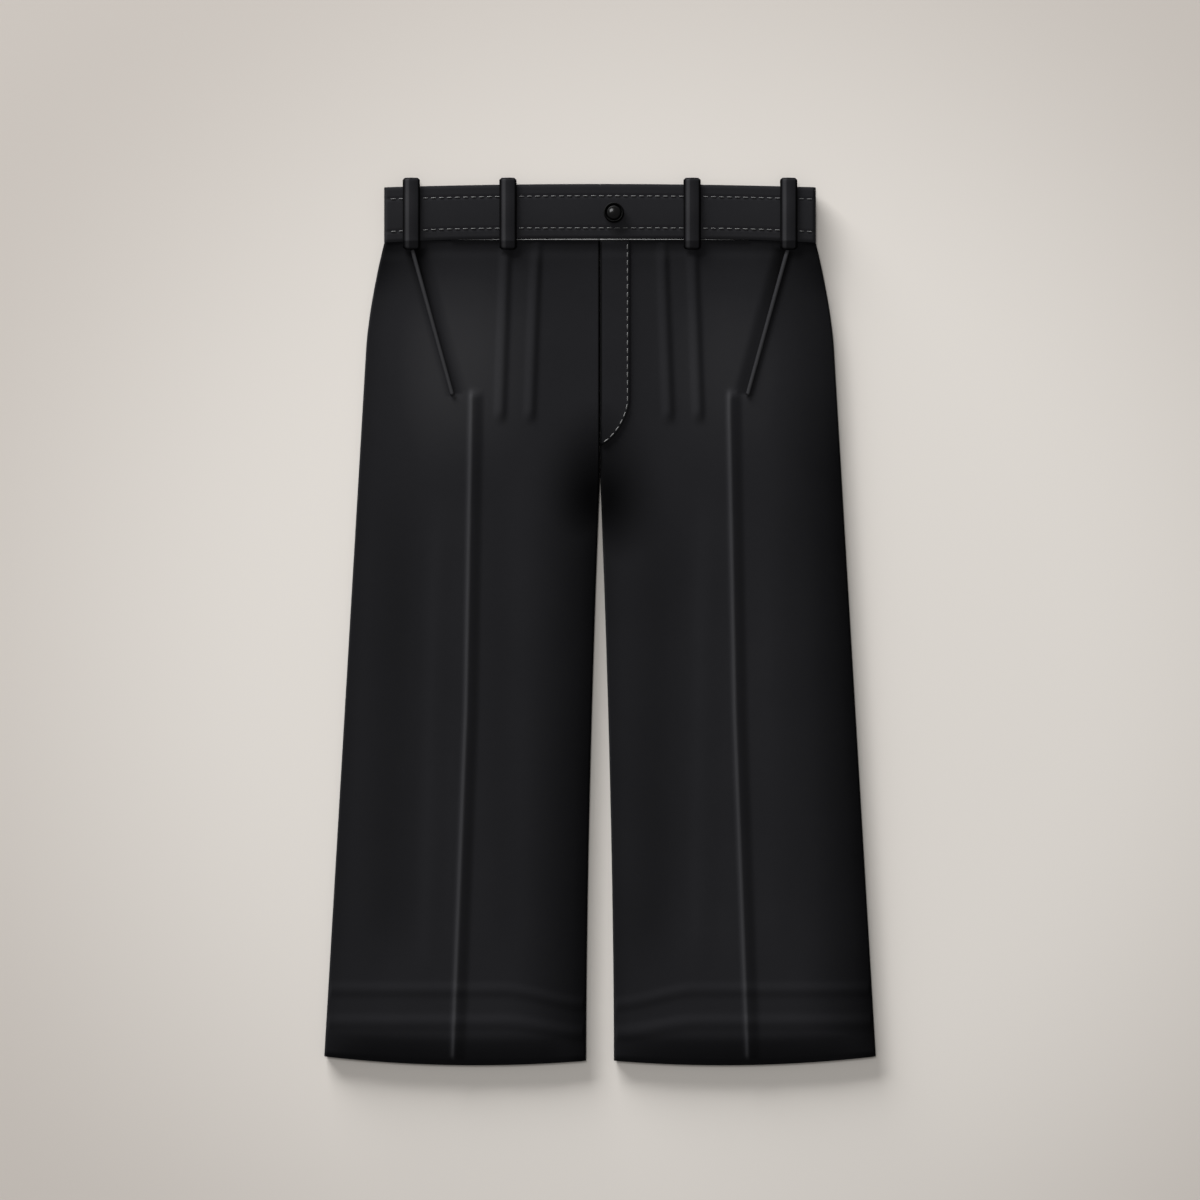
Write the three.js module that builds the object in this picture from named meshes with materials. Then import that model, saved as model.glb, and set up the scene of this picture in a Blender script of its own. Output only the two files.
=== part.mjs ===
// Wide-leg trousers, laid flat on their back with the front up.
// Millimetres. +X is the viewer's right, +Y points to the waist, +Z up from the surface they lie on.
// The origin lies on that surface, under the middle of the outline.
import * as THREE from "three";

// Outline, seen from above
const WAIST_HALF = 205.2; // half the flat waistband
const BAND_TOP_Y = 416.05; // top edge of the waistband at the middle
const BAND_TOP_DIP = 3.15; // how far that edge falls towards the ends
const BAND_BOTTOM_Y = 364.1; // bottom edge of the waistband at the middle
const BAND_BOTTOM_DIP = 3.9;
const BAND_BOTTOM_POWER = 3.6;
const PANEL_TOP_Y = 362.45; // top of the leg panels, below the piping
const HIP_HALF = 216.6; // half width that the straight side line starts from
const SIDE_FLARE = 0.0592; // side line, outwards per millimetre down
const WAIST_PULL = 11.4; // how far the waist is drawn in from that line
const WAIST_PULL_LENGTH = 100;
const CURVE_POWER = 1.7;
const CROTCH_Y = 136.7;
const HEM_GAP_HALF = 13.06; // half the space between the legs at the hem
const INSEAM_LENGTH = 553;
const HEM_INNER = { x: 13.0, y: -417.4 };
const HEM_OUTER = { x: 262.2, y: -413.3 };
const HEM_SAG = 6.17;

// Cloth and the levels it lies at
const GAP = 0.3; // between sewn pieces
const FRONT_CLOTH = 2.2;
const BACK_CLOTH = 2.3;
const FRONT_CROWN = 8.4; // top of a front panel
const EDGE_TOP = 5.5; // top of the round edge at the seams and hem
const SEAM_Z = 2.75; // where front and back meet at the sides
const WAIST_SETTLE = 52; // length over which the waist levels fade out
const WAIST = { frontTop: 8.0, backBottom: 1.8, seam: 5.3 };
const WAIST_HOLLOW = { depth: 0.35, at: 9, spread: 9 };
const EDGE_ROLL = 60; // width of the soft slope along an edge
const ROLL_POWER = 2.4;
const CROTCH_DIP = 75; // length above the crotch over which the middle sinks
const CROTCH_TURN = 26; // length over which the seam turns into a rolled edge
const HEM_ROLL = 28;
const HEM_ROUND = 0.8;
const SEAM_DIP = 0.8; // rounding of the panel at the centre seam

// Front folds. Distances from the centre line at four levels down the panel.
const LEVELS = [0, 168, 450, 780];
const FOLD_LINES = {
  innerPleat: [59.5, 65.9, 66.5, 70],
  outerPleat: [88.4, 94.2, 97, 104],
  crease: [121.5, 123.2, 128.8, 140.6],
};
const PLEAT = { height: 1.2, left: 7.6, right: 7.6, end: 172, fade: 16, startShare: 0.3, startLength: 22 };
const CREASE = { height: 1.6, left: 5, right: 11, start: 142, fade: 12 };
const HEM_RIDGES = [
  { above: 57, height: 0.6, spread: 9 },
  { above: 35, height: 0.7, spread: 10 },
];

// Waistband
const BAND = { bottom: 6.4, cloth: 2.6, crown: 0.4 };
const BACK_BAND = { bottom: 1.8, cloth: 2.4, shorter: 0.8 };
const UNDERLAP = { left: -24, right: 34, low: 367, high: 412, bottom: 4.7, cloth: 1.4, corner: 6 };

// Belt loops
const LOOP = { half: 8.2, corner: 2.8, cloth: 1.4, full: 0.9, top: 421.75, low: 353.9, bow: 0.4, hook: 2.2 };
const LOOP_SEAT_REACH = 1.5; // how far round a point a loop clears what it lies on
const LOOP_HOOK_STEP = 0.25;
const FRONT_LOOPS = [-179.1, -87.4, 87.4, 179.1];
const BACK_LOOP = { half: 8.2, corner: 2.8, bottom: 0, cloth: 1.5, high: 411.5, low: 354 };
const BACK_LOOPS = [-96, 0, 96];

// Fly, pocket welts, piping and button
const FLY = { left: 0.4, right: 28.5, straightTo: 210.8, bottom: 166, power: 1.38, cloth: 0.9 };
const WELT = { topX: 178.2, topY: 353.2, lowX: 140.1, lowY: 215.6, half: 1.9, cloth: 1.0 };
const PIPING = { low: 362.75, bottom: 7.5, top: 8.9, end: 138 };
const BUTTON = { x: 13.1, y: 388.8, radius: 9.65 };

const CLOTH_COLOUR = 0x1b1b1d;
const PIPING_COLOUR = 0x6a6a6c;
const BUTTON_COLOUR = 0x0b0b0c;

// Small helpers
const clamp01 = (v) => Math.min(1, Math.max(0, v));
const mix = (a, b, f) => a + (b - a) * f;
const ease = (v) => clamp01(v) ** 2 * (3 - 2 * clamp01(v));
const bell = (v) => (Math.abs(v) < 1 ? 0.5 + 0.5 * Math.cos(Math.PI * v) : 0);
const steps = (count) => Array.from({ length: count + 1 }, (_, i) => i / count);

// Outline functions. x is the distance from the centre line.
const bandTop = (x) => BAND_TOP_Y - BAND_TOP_DIP * (x / WAIST_HALF) ** 2;
const bandBottom = (x) =>
  BAND_BOTTOM_Y - BAND_BOTTOM_DIP * Math.abs(x / WAIST_HALF) ** BAND_BOTTOM_POWER;
const panelTop = (x) => Math.min(PANEL_TOP_Y, bandBottom(x) - GAP);

function sideX(y) {
  const down = Math.max(0, panelTop(WAIST_HALF) - y);
  const pull = WAIST_PULL * (1 - clamp01(down / WAIST_PULL_LENGTH)) ** CURVE_POWER;
  return HIP_HALF + SIDE_FLARE * down - pull;
}

function innerX(y) {
  const down = clamp01((CROTCH_Y - y) / INSEAM_LENGTH);
  return GAP / 2 + HEM_GAP_HALF * (1 - (1 - down) ** CURVE_POWER);
}

function hemY(x) {
  const f = clamp01((x - HEM_INNER.x) / (HEM_OUTER.x - HEM_INNER.x));
  return mix(HEM_INNER.y, HEM_OUTER.y, f) - 4 * HEM_SAG * f * (1 - f);
}

function foldX(name, down) {
  const row = FOLD_LINES[name];
  const i = down < LEVELS[1] ? 0 : down < LEVELS[2] ? 1 : 2;
  return mix(row[i], row[i + 1], clamp01((down - LEVELS[i]) / (LEVELS[i + 1] - LEVELS[i])));
}

// How far the crotch has turned the centre seam into a rolled edge: 0 above, 1 below
const crotchSink = (y) => ease((CROTCH_Y + CROTCH_DIP - y) / CROTCH_DIP);
const crotchTurn = (y) => ease((CROTCH_Y + CROTCH_TURN - y) / CROTCH_TURN);

// Levels that change over the first part of the panel below the waist
const settled = (down) => ease(down / WAIST_SETTLE);
const seamLevel = (down) => mix(WAIST.seam, SEAM_Z, settled(down));
const edgeTop = (down) => mix(WAIST.frontTop, EDGE_TOP, settled(down));
const crownTop = (down) => mix(WAIST.frontTop, FRONT_CROWN, settled(down));
const backBottom = (down) => mix(WAIST.backBottom, 0, settled(down));

// Share of the fall from the crown at a distance from an edge
const edgeFall = (e, start) => clamp01(1 - (e - start) / EDGE_ROLL) ** ROLL_POWER;

// Height of a front panel without its folds
function frontBase(x, y) {
  const down = panelTop(x) - y;
  const low = edgeTop(down);
  const radius = low - seamLevel(down) - GAP / 2;
  const side = edgeFall(sideX(y) - x, radius);
  const inner = edgeFall(x - innerX(y), radius) * crotchSink(y);
  const hem = clamp01(1 - (y - hemY(x)) / HEM_ROLL) ** 2;
  const keep = (1 - clamp01(side)) * (1 - clamp01(inner)) * (1 - hem);
  const hollow = WAIST_HOLLOW.depth * bell((down - WAIST_HOLLOW.at) / WAIST_HOLLOW.spread);
  return low + (crownTop(down) - low) * keep - hollow;
}

// Folds of a front panel. side is -1 on the viewer's left and 1 on the right.
function folds(side, x, y) {
  const down = panelTop(x) - y;
  const flank = (fold, name) => {
    const off = side * (x - foldX(name, down));
    return off / (off < 0 ? fold.left : fold.right);
  };
  const pleatLevel =
    mix(PLEAT.startShare, 1, ease(down / PLEAT.startLength)) * ease((PLEAT.end - down) / PLEAT.fade);
  const pleats = bell(flank(PLEAT, "innerPleat")) + bell(flank(PLEAT, "outerPleat"));
  const creaseLevel = ease((down - CREASE.start) / CREASE.fade);
  const crease = (1 - clamp01(Math.abs(flank(CREASE, "crease")))) ** 1.4;
  let z = PLEAT.height * pleats * pleatLevel + CREASE.height * crease * creaseLevel;
  for (const ridge of HEM_RIDGES) {
    z += ridge.height * bell((y - hemY(x) - ridge.above) / ridge.spread);
  }
  return z;
}

const frontTop = (side, x, y) => frontBase(x, y) + folds(side, x, y);

// Points of a panel column that rolls round an edge.
// angle is 90 at the very edge and 0 where the roll starts, turn is 0 for a plain seam.
function rolled(edgeX, inward, angle, turn, radius, cloth, top, up) {
  const a = (angle * Math.PI) / 180;
  const along = radius * (1 - Math.sin(a));
  const drop = radius * (1 - Math.cos(a)) * (1 - Math.cos((turn * Math.PI) / 2));
  const dip = SEAM_DIP * (1 - turn) * (angle / 90) ** 2;
  const tilt = a * turn;
  const x = edgeX + inward * along;
  const z = top - up * (drop + dip);
  const innerX = x + inward * cloth * Math.sin(tilt);
  const innerZ = top - up * (drop + cloth * Math.cos(tilt));
  return { x, z, innerX, innerZ };
}

// A closed wall from a grid of outer and inner points: rows down, columns across.
// flip is true where the outer side faces down.
function wall(grid, flip) {
  const rows = grid.length;
  const cols = grid[0].length;
  const points = [];
  for (const layer of ["outer", "inner"]) {
    for (const row of grid) row.forEach((cell) => points.push(...cell[layer]));
  }
  const index = [];
  const outer = (r, c) => r * cols + c;
  const inner = (r, c) => rows * cols + r * cols + c;
  const face = (a, b, c, d) => {
    if (flip) index.push(a, c, b, a, d, c);
    else index.push(a, b, c, a, c, d);
  };
  for (let r = 0; r < rows - 1; r++) {
    for (let c = 0; c < cols - 1; c++) {
      face(outer(r, c), outer(r + 1, c), outer(r + 1, c + 1), outer(r, c + 1));
      face(inner(r, c), inner(r, c + 1), inner(r + 1, c + 1), inner(r + 1, c));
    }
    face(outer(r, 0), inner(r, 0), inner(r + 1, 0), outer(r + 1, 0));
    face(outer(r, cols - 1), outer(r + 1, cols - 1), inner(r + 1, cols - 1), inner(r, cols - 1));
  }
  for (let c = 0; c < cols - 1; c++) {
    face(outer(0, c), outer(0, c + 1), inner(0, c + 1), inner(0, c));
    face(outer(rows - 1, c), inner(rows - 1, c), inner(rows - 1, c + 1), outer(rows - 1, c + 1));
  }
  const geometry = new THREE.BufferGeometry();
  geometry.setAttribute("position", new THREE.Float32BufferAttribute(points, 3));
  geometry.setIndex(index);
  geometry.computeVertexNormals();
  return geometry;
}

// Rows of a panel, as shares of the way from the waist seam to the hem
const PANEL_LENGTH = PANEL_TOP_Y - HEM_INNER.y;
const rowY = (share, x) => mix(panelTop(x), hemY(x), share);
const fromWaist = (down) => down / PANEL_LENGTH;
const CROTCH_ROW = fromWaist(PANEL_TOP_Y - CROTCH_Y);
const FRONT_ROWS = [
  ...[0, 5, 11, 20, 34, 52, 76, 100, 125, 145, 157, 166, 180, 196, 212].map(fromWaist),
  CROTCH_ROW,
  ...[240, 262, 300, 350, 410, 480, 560, 640, 700].map(fromWaist),
  ...[67, 57, 46, 35, 25, 15, 7, 1.5, 0].map((above) => 1 - fromWaist(above)),
];
const BACK_ROWS = [
  ...[0, 12, 24, 38, 54, 120, 190, 212].map(fromWaist),
  CROTCH_ROW,
  ...[260, 340, 480, 640, PANEL_LENGTH].map(fromWaist),
];

// Columns of a front panel: angles roll round an edge, the rest are distances
const ROLL_ANGLES = [90, 45, 0];
const INNER_STEPS = [8, 18, 34];
const SIDE_STEPS = [60, 40, 22, 9];
const PLEAT_STEPS = [-7.6, 0, 7.6];
const CREASE_STEPS = [-11, -5, 0, 5, 11];
const BACK_INNER_STEPS = [14, 45];
const BACK_SIDE_STEPS = [45, 14];
const MIDDLE_SHARES = [0.25, 0.5, 0.75];

// Finds the x on a row where a column lies, since rows curve and edges slant
function settle(share, columnX) {
  let x = WAIST_HALF / 2;
  for (let i = 0; i < 3; i++) x = columnX(rowY(share, x));
  return x;
}

// One row of column places: { x } inside the panel, { edge, angle } on its rolled edges
function frontColumns(share) {
  const down = share * PANEL_LENGTH;
  const inner = settle(share, innerX);
  const side = settle(share, sideX);
  const crease = foldX("crease", down);
  const middleFrom = crease + CREASE_STEPS.at(-1);
  const middleTo = side - SIDE_STEPS[0];
  return [
    ...ROLL_ANGLES.map((angle) => ({ edge: "inner", angle })),
    ...INNER_STEPS.map((e) => ({ x: inner + e })),
    ...PLEAT_STEPS.map((e) => ({ x: foldX("innerPleat", down) + e })),
    ...PLEAT_STEPS.map((e) => ({ x: foldX("outerPleat", down) + e })),
    ...CREASE_STEPS.map((e) => ({ x: crease + e })),
    ...MIDDLE_SHARES.map((f) => ({ x: mix(middleFrom, middleTo, f) })),
    ...SIDE_STEPS.map((e) => ({ x: side - e })),
    ...ROLL_ANGLES.toReversed().map((angle) => ({ edge: "side", angle })),
  ];
}

function backColumns(share) {
  const inner = settle(share, innerX);
  const side = settle(share, sideX);
  const from = inner + BACK_INNER_STEPS.at(-1);
  const to = side - BACK_SIDE_STEPS[0];
  return [
    ...ROLL_ANGLES.map((angle) => ({ edge: "inner", angle })),
    ...BACK_INNER_STEPS.map((e) => ({ x: inner + e })),
    ...MIDDLE_SHARES.map((f) => ({ x: mix(from, to, f) })),
    ...BACK_SIDE_STEPS.map((e) => ({ x: side - e })),
    ...ROLL_ANGLES.toReversed().map((angle) => ({ edge: "side", angle })),
  ];
}

// The rolled edge of a panel at one row. up is 1 for a front panel and -1 for a back one.
function edgeCell(place, share, up) {
  const inner = place.edge === "inner";
  const edgeX = settle(share, inner ? innerX : sideX);
  const y = rowY(share, edgeX);
  const down = panelTop(edgeX) - y;
  const turn = inner ? crotchTurn(y) : 1;
  const seam = seamLevel(down) + (up * GAP) / 2;
  const cloth = up > 0 ? FRONT_CLOTH : BACK_CLOTH;
  const flatEdge = up > 0 ? edgeTop(down) : backBottom(down);
  const radius = Math.abs(flatEdge - seam);
  const inward = inner ? 1 : -1;
  const start = edgeX + inward * radius;
  const top = up > 0 ? frontBase(start, y) : flatEdge;
  const cell = rolled(edgeX, inward, place.angle, turn, radius, cloth, top, up);
  return { ...cell, y };
}

// Front panel, one row after another
function frontLeg(side) {
  const grid = FRONT_ROWS.map((share) => {
    const round = share === 1 ? HEM_ROUND : 0;
    return frontColumns(share).map((place) => {
      if (place.edge) {
        const cell = edgeCell(place, share, 1);
        const rounded = round * Math.cos((place.angle * Math.PI) / 180);
        return {
          outer: [side * cell.x, cell.y, cell.z - rounded],
          inner: [side * cell.innerX, cell.y, cell.innerZ],
        };
      }
      const y = rowY(share, place.x);
      return {
        outer: [side * place.x, y, frontTop(side, place.x, y) - round],
        inner: [side * place.x, y, frontBase(place.x, y) - FRONT_CLOTH],
      };
    });
  });
  return wall(grid, side < 0);
}

// Back panel: its outer side lies on the surface below
function backLeg(side) {
  const grid = BACK_ROWS.map((share) =>
    backColumns(share).map((place) => {
      if (place.edge) {
        const cell = edgeCell(place, share, -1);
        return {
          outer: [side * cell.x, cell.y, cell.z],
          inner: [side * cell.innerX, cell.y, cell.innerZ],
        };
      }
      const y = rowY(share, place.x);
      const bottom = backBottom(panelTop(place.x) - y);
      return {
        outer: [side * place.x, y, bottom],
        inner: [side * place.x, y, bottom + BACK_CLOTH],
      };
    }),
  );
  return wall(grid, side > 0);
}

// Waistband: rows across its height, each with its distance from the edge and how far it is rounded
const BAND_EDGE_ROWS = [
  { inset: 0, rounded: 0.9 },
  { inset: 0.8, rounded: 0.25 },
  { inset: 2.6, rounded: 0 },
];
const BAND_MIDDLE_SHARES = [0.28, 0.5, 0.72];
const BAND_STEPS = [1.6, 25, 50, 75, 100, 125, 145, 165, 183];

function bandRows(top, bottom) {
  const height = top - bottom;
  return [
    ...BAND_EDGE_ROWS.map((row) => ({ y: top - row.inset, rounded: row.rounded })),
    ...BAND_MIDDLE_SHARES.map((f) => ({ y: top - f * height, rounded: 0 })),
    ...BAND_EDGE_ROWS.toReversed().map((row) => ({ y: bottom + row.inset, rounded: row.rounded })),
  ];
}

// Height of the front waistband, with its soft crown
function bandSurface(x, y) {
  const middle = (bandTop(x) + bandBottom(x)) / 2;
  const half = (bandTop(x) - bandBottom(x)) / 2;
  return BAND.bottom + BAND.cloth + BAND.crown * bell((y - middle) / half);
}

// One column of a waistband end that rolls round the side
function bandEnd(angle, level, cloth, up) {
  const seam = WAIST.seam + (up * GAP) / 2;
  return rolled(WAIST_HALF, -1, angle, 1, Math.abs(level - seam), cloth, level, up);
}

function bandFront(side) {
  const level = BAND.bottom + BAND.cloth;
  const places = [GAP / 2, ...BAND_STEPS].map((x) => ({ x, angle: 0 }));
  for (const angle of ROLL_ANGLES.toReversed()) {
    places.push({ ...bandEnd(angle, level, BAND.cloth, 1), angle });
  }
  const count = bandRows(1, 0).length;
  const grid = steps(count - 1).map((_, r) =>
    places.map((place) => {
      const row = bandRows(bandTop(place.x), bandBottom(place.x))[r];
      const flat = Math.cos((place.angle * Math.PI) / 180);
      const crown = bandSurface(place.x, row.y) - level;
      const outerZ = (place.z ?? level) + (crown - row.rounded) * flat;
      return {
        outer: [side * place.x, row.y, outerZ],
        inner: [side * (place.innerX ?? place.x), row.y, place.innerZ ?? BAND.bottom],
      };
    }),
  );
  return wall(grid, side < 0);
}

function bandBack() {
  const ends = ROLL_ANGLES.map((angle) => bandEnd(angle, BACK_BAND.bottom, BACK_BAND.cloth, -1));
  const left = ends.map((end) => ({ ...end, x: -end.x, innerX: -end.innerX }));
  const middle = [...BAND_STEPS.toReversed().map((x) => -x), ...BAND_STEPS].map((x) => ({ x }));
  const places = [...left, ...middle, ...ends.toReversed()];
  const grid = [0, 0.5, 1].map((share) =>
    places.map((place) => {
      const top = bandTop(place.x) - BACK_BAND.shorter;
      const y = mix(top, panelTop(Math.abs(place.x)) + GAP, share);
      return {
        outer: [place.x, y, place.z ?? BACK_BAND.bottom],
        inner: [place.innerX ?? place.x, y, place.innerZ ?? BACK_BAND.bottom + BACK_BAND.cloth],
      };
    }),
  );
  return wall(grid, true);
}

// Flat tab with rounded corners, lying at a level
function tab({ left, right, low, high, bottom, cloth, corner }) {
  const shape = new THREE.Shape();
  shape.moveTo(left + corner, low);
  shape.lineTo(right - corner, low);
  shape.quadraticCurveTo(right, low, right, low + corner);
  shape.lineTo(right, high - corner);
  shape.quadraticCurveTo(right, high, right - corner, high);
  shape.lineTo(left + corner, high);
  shape.quadraticCurveTo(left, high, left, high - corner);
  shape.lineTo(left, low + corner);
  shape.quadraticCurveTo(left, low, left + corner, low);
  const geometry = new THREE.ExtrudeGeometry(shape, {
    depth: cloth,
    bevelEnabled: false,
    curveSegments: 4,
  });
  geometry.translate(0, 0, bottom);
  return geometry;
}

// Highest point of the band, piping or panel under a belt loop near y
function loopSeat(centre, y) {
  let z = 0;
  for (const dx of [-LOOP.half, -LOOP.half / 2, 0, LOOP.half / 2, LOOP.half]) {
    for (const dy of [-LOOP_SEAT_REACH, 0, LOOP_SEAT_REACH]) {
      const x = centre + dx;
      const py = Math.min(y + dy, bandTop(x));
      const onBand = py > PIPING.low;
      const top = onBand ? bandSurface(x, py) : frontTop(Math.sign(x), Math.abs(x), py);
      z = Math.max(z, top);
    }
  }
  return z + GAP;
}

const LOOP_ENDS = [0, 0.8, 2.8];
const LOOP_ACROSS = [-1, -0.6, 0, 0.6, 1];

// Belt loop: a strap across the band, hooked over its top edge
function beltLoop(centre) {
  const edge = Math.max(bandTop(centre - LOOP.half), bandTop(centre + LOOP.half)) + GAP;
  const seam = bandBottom(Math.abs(centre));
  const rows = [
    ...LOOP_ENDS.map((e) => LOOP.top - e),
    edge + LOOP_HOOK_STEP,
    ...steps(5).map((f) => mix(edge, seam + LOOP_SEAT_REACH, f)),
    seam - 2 * LOOP_SEAT_REACH,
    ...LOOP_ENDS.toReversed().map((e) => LOOP.low + e),
  ];
  const grid = rows.map((y) => {
    const end = Math.min(LOOP.top - y, y - LOOP.low);
    const cut = Math.max(0, LOOP.corner - end);
    const half = LOOP.half - LOOP.corner + Math.sqrt(LOOP.corner ** 2 - cut ** 2);
    const bow = LOOP.bow * bell((2 * (y - (edge + seam) / 2)) / (edge - seam));
    const seat = loopSeat(centre, y);
    const hooked = y > edge + LOOP_HOOK_STEP / 2 ? LOOP.hook : 0;
    return LOOP_ACROSS.map((f) => {
      const x = centre + f * half;
      const full = LOOP.full * (1 - f * f) * (end === 0 ? 0.5 : 1);
      return {
        outer: [x, y, seat + bow + LOOP.cloth + full],
        inner: [x, y, seat + bow - hooked],
      };
    });
  });
  return wall(grid, false);
}

// Fly: the J-shaped edge of the wearer's left front, lying on the panel
const FLY_ROWS = [362.2, 357, 351, 342, 328, 305, 280, 255, 232, 217, 211, 203, 195, 187, 179, 171, 167.6];
const FLY_ACROSS = [0, 0.1, 0.4, 0.7, 0.95, 1];
const FLY_EDGE_ROUND = 0.3;

function flyX(y) {
  const down = clamp01((FLY.straightTo - y) / (FLY.straightTo - FLY.bottom));
  return FLY.right * (1 - down ** FLY.power) ** (1 / FLY.power);
}

function flyFront() {
  const grid = FLY_ROWS.map((y) =>
    FLY_ACROSS.map((f) => {
      const x = mix(FLY.left, flyX(y), f);
      const seat = frontBase(x, y) + GAP;
      const round = f === 0 || f === 1 ? FLY_EDGE_ROUND : 0;
      return { outer: [x, y, seat + FLY.cloth - round], inner: [x, y, seat] };
    }),
  );
  return wall(grid, false);
}

// Pocket welt: a narrow slanted strip lying on the front panel
const WELT_ROWS = 14;
const WELT_ACROSS = [-1, -0.5, 0.5, 1];
const WELT_EDGE_ROUND = 0.45;

function pocketWelt(side) {
  const length = Math.hypot(WELT.topX - WELT.lowX, WELT.topY - WELT.lowY);
  const across = { x: (WELT.topY - WELT.lowY) / length, y: -(WELT.topX - WELT.lowX) / length };
  const grid = steps(WELT_ROWS).map((share) =>
    WELT_ACROSS.map((f) => {
      const x = mix(WELT.topX, WELT.lowX, share) + f * WELT.half * across.x;
      const y = mix(WELT.topY, WELT.lowY, share) + f * WELT.half * across.y;
      const seat = frontBase(x, y) + GAP;
      const round = Math.abs(f) === 1 ? WELT_EDGE_ROUND : 0;
      return { outer: [side * x, y, seat + WELT.cloth - round], inner: [side * x, y, seat] };
    }),
  );
  return wall(grid, side < 0);
}

// Piping: a thin straight cord in the waist seam, covered towards the sides by the band
const PIPING_STEPS = 12;
const PIPING_ROUND = 0.35;

function waistPiping(side) {
  const grid = steps(PIPING_STEPS).map((share) => {
    const x = mix(GAP / 2, PIPING.end, share);
    const high = bandBottom(x) - GAP;
    return [0, 0.5, 1].map((f) => {
      const y = mix(high, PIPING.low, f);
      const z = PIPING.top - (f === 0.5 ? 0 : PIPING_ROUND);
      return { outer: [side * x, y, z], inner: [side * x, y, PIPING.bottom] };
    });
  });
  return wall(grid, side > 0);
}

// Button: radius and height of its profile, from the middle underneath to the middle on top
const BUTTON_PROFILE = [
  { r: 0, z: 0 },
  { r: 8.5, z: 0 },
  { r: 9.4, z: 0.5 },
  { r: 9.65, z: 1.3 },
  { r: 9.3, z: 2.1 },
  { r: 8.5, z: 2.4 },
  { r: 7.6, z: 1.8 },
  { r: 7.1, z: 1.55 },
  { r: 5.2, z: 2.25 },
  { r: 2.8, z: 2.8 },
  { r: 0, z: 3.05 },
];
const BUTTON_SIDES = 24;

function waistButton() {
  const profile = BUTTON_PROFILE.map((point) => new THREE.Vector2(point.r, point.z));
  const geometry = new THREE.LatheGeometry(profile, BUTTON_SIDES);
  geometry.rotateX(Math.PI / 2);
  return geometry;
}

const cloth = () =>
  new THREE.MeshStandardMaterial({ color: CLOTH_COLOUR, roughness: 0.75, metalness: 0 });
const piping = () =>
  new THREE.MeshStandardMaterial({ color: PIPING_COLOUR, roughness: 0.6, metalness: 0 });
const gloss = () =>
  new THREE.MeshStandardMaterial({ color: BUTTON_COLOUR, roughness: 0.2, metalness: 0 });

const trousers = new THREE.Group();

function place(name, geometry, material) {
  const mesh = new THREE.Mesh(geometry, material);
  mesh.name = name;
  trousers.add(mesh);
  return mesh;
}

// The wearer's right is the viewer's left
for (const [name, side] of [["right", -1], ["left", 1]]) {
  place(`front_leg_${name}`, frontLeg(side), cloth());
  place(`back_leg_${name}`, backLeg(side), cloth());
  place(`waistband_front_${name}`, bandFront(side), cloth());
  place(`pocket_welt_${name}`, pocketWelt(side), cloth());
  place(`waist_piping_${name}`, waistPiping(side), piping());
}
place("waistband_back", bandBack(), cloth());
place("waistband_underlap", tab(UNDERLAP), cloth());
place("fly_front", flyFront(), cloth());
FRONT_LOOPS.forEach((x, i) => place(`belt_loop_front_${i + 1}`, beltLoop(x), cloth()));
BACK_LOOPS.forEach((x, i) => {
  const ends = { left: x - BACK_LOOP.half, right: x + BACK_LOOP.half };
  place(`belt_loop_back_${i + 1}`, tab({ ...BACK_LOOP, ...ends }), cloth());
});
const button = place("waist_button", waistButton(), gloss());
button.position.set(BUTTON.x, BUTTON.y, bandSurface(BUTTON.x, BUTTON.y) + GAP);

export default trousers;
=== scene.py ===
# %% [markdown]
# # Black wide-leg trousers, laid flat
# These trousers lie on their back on a pale table and are seen from straight above. Cloth like this
# is a few thin panels sewn at their edges, so the scene builds each panel as its own thin sheet.
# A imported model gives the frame: every sheet stays where its solid is, and only gets finer.

import math

import bmesh
import bpy
from mathutils import Matrix, Vector


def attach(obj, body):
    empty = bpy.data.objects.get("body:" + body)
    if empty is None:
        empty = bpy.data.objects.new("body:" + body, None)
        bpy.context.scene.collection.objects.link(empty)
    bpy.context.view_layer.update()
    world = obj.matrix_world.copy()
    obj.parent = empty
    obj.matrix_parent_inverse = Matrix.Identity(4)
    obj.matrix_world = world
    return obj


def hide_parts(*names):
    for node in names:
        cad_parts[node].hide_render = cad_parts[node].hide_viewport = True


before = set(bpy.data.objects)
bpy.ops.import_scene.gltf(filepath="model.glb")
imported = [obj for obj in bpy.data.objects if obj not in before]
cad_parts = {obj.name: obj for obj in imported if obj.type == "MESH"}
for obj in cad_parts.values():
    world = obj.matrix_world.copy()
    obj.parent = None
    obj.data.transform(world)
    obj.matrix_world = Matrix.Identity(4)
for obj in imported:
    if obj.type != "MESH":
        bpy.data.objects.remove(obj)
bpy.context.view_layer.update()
MM = 0.001  # sizes below are in millimetres, Blender works in metres
print("nodes:", len(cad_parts))

# %% [markdown]
# ## Camera
# The photo looks straight down, so the camera hangs over the middle of the frame and isn't turned:
# a Blender camera that isn't turned looks down with +Y at the top of the picture. A long lens far
# away keeps the sides of the legs from leaning outwards.

# %% Camera over the table
FRAME_WIDTH = 1140.0  # millimetres that the picture spans
FRAME_MIDDLE_Y = 20.85
LENS = 100.0
SENSOR = 36.0
CLOTH_LEVEL = 8.0

camera_data = bpy.data.cameras.new("overhead_camera")
camera_data.lens = LENS
camera_data.sensor_width = SENSOR
camera_data.clip_end = 50.0
camera = bpy.data.objects.new("overhead_camera", camera_data)
height = FRAME_WIDTH * LENS / SENSOR + CLOTH_LEVEL
camera.location = (0, FRAME_MIDDLE_Y * MM, height * MM)
bpy.context.scene.collection.objects.link(camera)
bpy.context.scene.camera = camera
print("camera height in metres:", round(height * MM, 3))

# %% [markdown]
# ## Light
# Black cloth shows its folds only where light rakes across it. The main light is therefore a wide
# softbox low over the top left, which also throws the long soft shadow below and to the right. A
# second softbox high above keeps that shadow pale, and the world fills the rest.

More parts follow.
